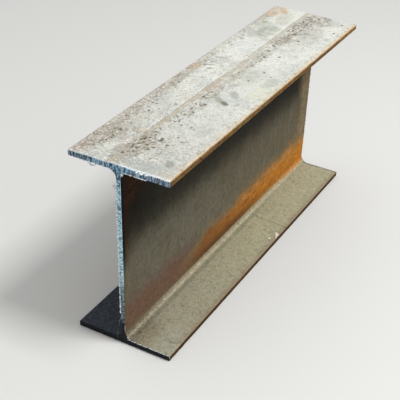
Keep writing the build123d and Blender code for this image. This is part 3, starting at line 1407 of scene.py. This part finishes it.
            # The lower face carries the same patches, turned round and moved along
            spot = place if upper else Vector((-place.x, 90 - place.y, 0))
            band = min(1.0, max(patch.share(spot) for patch in PITTED_PATCHES))
            pits = mottle(place, 4.6, 2.0) * 0.65 + mottle(place, 2.3, 9.0) * 0.35
            threshold = 0.79 - 0.27 * band
            pitting = ease(threshold, threshold + 0.16, pits)
            if upper:
                pitting = max(pitting, max(pit.share(place) for pit in LONE_PITS))
            vert[layers["band"]] = band
            vert[layers["pitting"]] = pitting
            return wavy + worn.pits * pitting + worn.crust * band * mottle(place, 3.5, 4.0)
        if abs(place.x) > self.width / 2 - self.toe_radius:
            return worn.toes * mottle(place, 7, 1.0) + worn.toe_grain * mottle(place, 2.6, 6.0)
        in_rust = ease(19, 24, place.z) * ease(80, 50, place.z)
        return wavy + in_rust * worn.rust * mottle(place, 6, 7.0)

    def cut_relief(self, vert: bmesh.types.BMVert, layers: dict[str, Any]) -> float:
        """Find the depth of the drag lines and of the bites out of the rim on a cut.

        Args:
            vert: A vertex.
            layers: The mesh's own values, to be filled in.

        Returns:
            The depth, in millimetres.
        """
        x, _, z = vert.co
        worn = self.worn
        waver = 1.6 * mottle(vert.co, 6, 2.0)
        if min(z, self.depth - z) < 2 * self.flange:
            across = Vector((x + waver, 0, z * 0.22))
        else:
            across = Vector((x * 0.35, 0, z + waver))
        coarse = mottle(across, self.drag_pitch, 5.0)
        fine = mottle(across, self.drag_pitch * 0.55, 8.0)
        drag = ease(0.42, 0.72, coarse * 0.75 + fine * 0.25)
        at_rim = 1.0 if abs(vert.normal.y) < 0.93 else 0.0
        vert[layers["drag"]] = drag
        vert[layers["melted"]] = at_rim * self.melt(vert.co)
        return worn.cut + worn.drag_lines * drag + at_rim * worn.rim_bites * mottle(vert.co, 4, 3.0)

    def melt(self, place: Vector) -> float:
        """Find how brightly the rim of a cut shines where it melted.

        Args:
            place: A point on the rim, in millimetres.

        Returns:
            A value from 0 to 1.
        """
        x, y, z = place
        patchy = mottle(place, 3.2, 7.0)
        on_far_cut = y > 0
        top_rim = z > self.depth - 2
        left_toe = x < 1.4 - self.width / 2 and z > self.depth / 2
        under_top = z > self.depth - 1.5 * self.flange
        right_foot = 5 < z < 42 and x > 2
        if on_far_cut:
            return ease(0.52, 0.7, patchy)
        if top_rim or left_toe:
            return ease(0.22, 0.42, patchy - 0.18 * ease(20, 10, abs(x - 8)))
        if under_top:
            return ease(0.25, 0.45, patchy) if 3 < x < 47 else ease(0.5, 0.7, patchy)
        if z > 60:
            return ease(0.3, 0.5, patchy) if x < 0 else 0.0
        return ease(0.32, 0.46, patchy) if right_foot else 0.0


# Where a larger drop hangs on the near cut, x and z, with half its size along each axis and its turn
CUT_DROPS = (
    (-37.5, 290.2, (4.8, 2.2, 2.3), -8),
    (-43.0, 291.0, (2.0, 1.6, 1.4), 0),
    (27.5, 298.2, (2.1, 1.4, 1.2), 10),
    (33.6, 298.0, (3.2, 1.5, 1.5), 5),
    (41.0, 298.4, (2.0, 1.4, 1.1), 0),
    (5.8, 287.2, (2.2, 1.2, 1.2), 50),
    (-3.6, 221.0, (1.4, 1.2, 2.2), 0),
    (-3.7, 187.0, (1.3, 1.2, 1.8), 0),
)

# Where a loose chip lies on the lower flange, x and y, with half its size along each axis and its turn
FLANGE_CHIPS = (
    (64.5, 42.0, (2.2, 2.4, 1.0), 0),
    (70.6, 57.5, (3.0, 4.6, 1.6), 12),
    (72.4, 50.6, (1.6, 2.4, 1.2), 20),
    (67.0, 62.5, (1.5, 1.8, 0.9), 0),
)

# The corners of the strand that hangs from the web to the foot of the near cut, x and z
STRAND = ((-3.6, 47.0), (-6.4, 37.0), (-8.6, 24.0), (-9.4, 11.5), (-9.6, 0.8))

# The height, radius and thickness of each curl on the left rim of the web
CURLS = ((267.0, 3.6, 1.0), (243.0, 2.3, 0.9))


@dataclass
class TorchDross:
    """Drops, beads and curls of frozen steel that the torch left along the near and the far cut."""

    beam: RolledBeam
    strand_pitch: float = 1.1
    strand_drop: Triple = (0.34, 0.34, 0.9)
    strand_share: float = 0.75
    curl_turn: float = -215.0
    seed: int = 31
    name: str = "torch_dross"

    def build(self) -> bpy.types.Object:
        """Build and dress the dross.

        Returns:
            The dross.
        """
        bm = bmesh.new()
        self.beads(bm)
        self.drops(bm)
        self.curls(bm)
        self.strand(bm)
        self.keep_in_box(bm)
        bmesh.ops.recalc_face_normals(bm, faces=bm.faces[:])
        bm.normal_update()
        # How much each point faces down, for the painted shade under the drops
        under = bm.verts.layers.float.new("under")
        for vert in bm.verts:
            vert[under] = ease(0.2, -0.4, vert.normal.z)
        dross = make_object(self.name, bm, [FreshDross().material()], MM)
        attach(dross, BODY)
        return dross

    def drop(self, bm: bmesh.types.BMesh, middle: Vector, reach: Triple, turn: float,
             fineness: int = 2) -> None:
        """Add one lumpy drop.

        Args:
            bm: The mesh.
            middle: Its middle, in millimetres.
            reach: Half of its size along each axis, in millimetres.
            turn: Its turn about the beam's length, in degrees.
            fineness: How finely it is divided: 1 for a small bead, 2 for a large drop.
        """
        ball = bmesh.ops.create_icosphere(bm, subdivisions=fineness, radius=1.0)["verts"]
        for vert in ball:
            vert.co *= 0.82 + 0.36 * mottle(vert.co * 10 + middle, 9)
        shape = Matrix.Translation(middle) @ Euler((0, radians(turn), 0)).to_matrix().to_4x4()
        bmesh.ops.transform(bm, matrix=shape @ Matrix.Diagonal((*reach, 1.0)), verts=ball)

    def keep_in_box(self, bm: bmesh.types.BMesh) -> None:
        """Flatten whatever would stand out of the CAD model's box.

        Args:
            bm: The mesh.
        """
        low, high = (Vector(corner) / MM for corner in cad_box)
        for vert in bm.verts:
            vert.co = Vector(max(least, min(most, at)) for least, most, at in zip(low, high, vert.co))

    def beads(self, bm: bmesh.types.BMesh) -> None:
        """String small beads along the rims of both cuts, closest where the near cut was slowest.

        Args:
            bm: The mesh.
        """
        beam = self.beam
        dice = random.Random(self.seed)
        top, under_top = beam.depth - beam.rim_radius, beam.depth - beam.flange
        left_rim, right_rim = -beam.web / 2 - 0.2, beam.web / 2 + 0.2
        for cut, start, end, pitch, size in (
            (beam.near, (5.5, under_top), (42, under_top), 1.7, 0.95),
            (beam.near, (-70, under_top), (-15, under_top), 8.0, 0.6),
            (beam.near, (left_rim, 56), (left_rim, 272), 3.0, 1.15),
            (beam.near, (7, 9.6), (73, 9.2), 2.4, 0.62),
            (beam.near, (-73, top), (-58, top), 3.0, 0.45),
            (beam.near, (20, top), (73, top), 2.6, 0.5),
            (beam.far, (16, under_top), (72, under_top), 6.0, 0.6),
            (beam.far, (-72, under_top), (-16, under_top), 6.0, 0.6),
            (beam.far, (right_rim, 30), (right_rim, 272), 7.0, 0.6),
        ):
            self.string(bm, dice, cut, start, end, pitch, size)

    def string(self, bm: bmesh.types.BMesh, dice: random.Random, cut: TorchCut, start: tuple[float, float],
               end: tuple[float, float], pitch: float, size: float) -> None:
        """String beads along one stretch of a rim.

        Args:
            bm: The mesh.
            dice: The source of their sizes and gaps.
            cut: The cut that they hang on.
            start: Where the first one is on the section, x and z, in millimetres.
            end: Where the last one is.
            pitch: About how far apart they are, in millimetres.
            size: About how large they are, in millimetres.
        """
        outward = -1 if cut is self.beam.near else 1
        first, last = Vector((start[0], 0, start[1])), Vector((end[0], 0, end[1]))
        upright = start[0] == end[0]
        fineness = 2 if size > 0.8 else 1
        count = max(2, round((last - first).length / pitch))
        for step in range(count):
            place = first.lerp(last, (step + dice.uniform(0, 0.9)) / count)
            radius = size * dice.choice((0.6, 0.8, 1.0, 1.0, 1.3))
            under_flange = place.z > 270 and abs(place.x) > 5
            place.z -= 0.25 * radius if under_flange else 0.0
            place.y = cut.along(place.x, place.z) - outward * 0.45 * radius
            along_rim = radius * dice.uniform(1.0, 1.9)
            reach = (radius, radius, along_rim) if upright else (along_rim, radius, radius)
            self.drop(bm, place, reach, dice.uniform(-20, 20), fineness)

    def drops(self, bm: bmesh.types.BMesh) -> None:
        """Add the few larger drops that stand out on the near cut, and the chips on the lower flange.

        Args:
            bm: The mesh.
        """
        for x, z, reach, turn in CUT_DROPS:
            self.drop(bm, Vector((x, self.beam.near.along(x, z) + 0.1, z)), reach, turn)
        for x, y, reach, turn in FLANGE_CHIPS:
            self.drop(bm, Vector((x, y, self.beam.flange + 0.3)), reach, turn)

    def strand(self, bm: bmesh.types.BMesh) -> None:
        """Add the thin strand that ran down from the web to the foot of the near cut.

        Args:
            bm: The mesh.
        """
        dice = random.Random(self.seed + 1)
        corners = [Vector((x, 0, z)) for x, z in STRAND]
        for start, end in zip(corners, corners[1:]):
            steps = round((end - start).length / self.strand_pitch)
            slope = degrees(atan2(end.x - start.x, end.z - start.z))
            for step in range(steps):
                place = start.lerp(end, step / steps)
                place.y = self.beam.near.along(place.x, place.z) + 0.3
                if dice.random() < self.strand_share:
                    self.drop(bm, place, self.strand_drop, slope, 1)

    def curls(self, bm: bmesh.types.BMesh) -> None:
        """Add the small curls on the left rim of the web's near end.

        Args:
            bm: The mesh.
        """
        x = -self.beam.web / 2 - 0.3
        for z, radius, thickness in CURLS:
            y = self.beam.near.along(x, z) - 0.1
            ring = bmesh.ops.create_circle(bm, segments=8, radius=thickness, cap_ends=True)["verts"]
            stand = Matrix.Translation((x, y, z + radius))
            bmesh.ops.transform(bm, matrix=stand @ Matrix.Rotation(radians(90), 4, "Y"), verts=ring)
            faces = list({face for vert in ring for face in vert.link_faces})
            bmesh.ops.spin(bm, geom=[*ring, *faces], cent=(x, y, z), axis=(0, 1, 0), dvec=(0, 0, 0),
                           angle=radians(self.curl_turn), steps=12, use_merge=False, use_duplicate=False)


@dataclass
class Studio:
    """A pale floor, a sky, a soft lamp and a camera at the photograph's angle."""

    floor_tint: Colour = colour(236, 236, 233)
    bounce_tint: Colour = colour(110, 108, 104)
    floor_size: float = 30.0
    horizon_level: float = 0.08
    sky_level: float = 0.6
    lamp_place: Triple = (1.1, 0.0, 2.3)
    lamp_aim: Triple = (0.0, 0.0, 0.15)
    lamp_size: float = 0.6
    lamp_power: float = 33.0
    camera_place: Triple = (0.55747, -1.09421, 0.89292)
    azimuth: float = 28.856
    tilt: float = 56.562
    roll: float = 2.564
    lens: float = 82.81

    def build(self) -> None:
        """Set up the floor, the light and the camera."""
        self.lay_floor()
        self.light_sky()
        self.hang_lamp()
        self.set_camera()
        bpy.context.scene.view_settings.view_transform = "Standard"

    def seen(self, graph: Graph) -> Signal:
        """Tell a surface that the camera sees, itself or in a reflection, from the light that it bounces.

        Args:
            graph: The tree that this is added to.

        Returns:
            1 where the camera sees it, or else 0.
        """
        path = graph.node("LightPath")
        rays = ("Is Camera Ray", "Is Glossy Ray", "Is Transmission Ray")
        return graph.largest(*(graph.result(path, ray) for ray in rays))

    def lay_floor(self) -> None:
        """Lay the plain floor."""
        bm = bmesh.new()
        bmesh.ops.create_grid(bm, x_segments=1, y_segments=1, size=self.floor_size)
        graph = Graph(bpy.data.materials.new("pale_floor"))
        tint = graph.mix(self.seen(graph), self.bounce_tint, self.floor_tint)
        shader = graph.node("BsdfPrincipled", sockets={"Base Color": tint, "Roughness": 0.9})
        graph.node("OutputMaterial", sockets={"Surface": graph.result(shader)})
        floor = make_object("floor", bm, [graph.owner], 1.0)

    def light_sky(self) -> None:
        """Light the beam from a sky that is brightest overhead, and show the camera a plain backdrop."""
        graph = Graph(bpy.data.worlds.new("studio_sky"))
        bpy.context.scene.world = graph.owner
        seen = self.seen(graph)
        _, _, rise = graph.parts(graph.result(graph.node("TexCoord"), "Generated"))
        level = graph.between(rise, 0.0, 0.6) * (self.sky_level - self.horizon_level) + self.horizon_level
        sky = graph.node("Background", sockets={"Color": (1.0, 1.0, 1.0), "Strength": level})
        backdrop = graph.node("Background", sockets={"Color": self.floor_tint, "Strength": 1.0})
        both = graph.node("MixShader", sockets={"Fac": seen})
        graph.tree.links.new(sky.outputs[0], both.inputs[1])
        graph.tree.links.new(backdrop.outputs[0], both.inputs[2])
        graph.node("OutputWorld", sockets={"Surface": graph.result(both)})

    def hang_lamp(self) -> None:
        """Hang a soft square lamp over the beam's right side."""
        data = bpy.data.lights.new("right_lamp", "AREA")
        data.size = self.lamp_size
        data.energy = self.lamp_power
        lamp = bpy.data.objects.new("right_lamp", data)
        place = Vector(self.lamp_place)
        lamp.location = place
        lamp.rotation_euler = (Vector(self.lamp_aim) - place).to_track_quat("-Z", "Y").to_euler()
        bpy.context.scene.collection.objects.link(lamp)

    def set_camera(self) -> None:
        """Put the camera where the photograph was taken from."""
        data = bpy.data.cameras.new("camera")
        data.lens = self.lens
        data.sensor_width = 36.0
        data.clip_end = 100.0
        camera = bpy.data.objects.new("camera", data)
        turn = (Matrix.Rotation(radians(self.azimuth), 4, "Z") @ Matrix.Rotation(radians(self.tilt), 4, "X")
                @ Matrix.Rotation(radians(self.roll), 4, "Z"))
        camera.matrix_world = Matrix.Translation(self.camera_place) @ turn
        bpy.context.scene.collection.objects.link(camera)
        bpy.context.scene.camera = camera


def report(piece: bpy.types.Object) -> None:
    """Log a piece's name and its number of triangles."""
    triangles = sum(len(face.vertices) - 2 for face in piece.data.polygons)
    LOG.info("%s: %d triangles", piece.name, triangles)


def main() -> None:
    """Build the studio, the beam and its dross."""
    logging.basicConfig(level=logging.INFO, format="%(message)s")
    Studio().build()
    beam = RolledBeam()
    report(beam.build())
    report(TorchDross(beam).build())


if __name__ == "__main__":
    main()
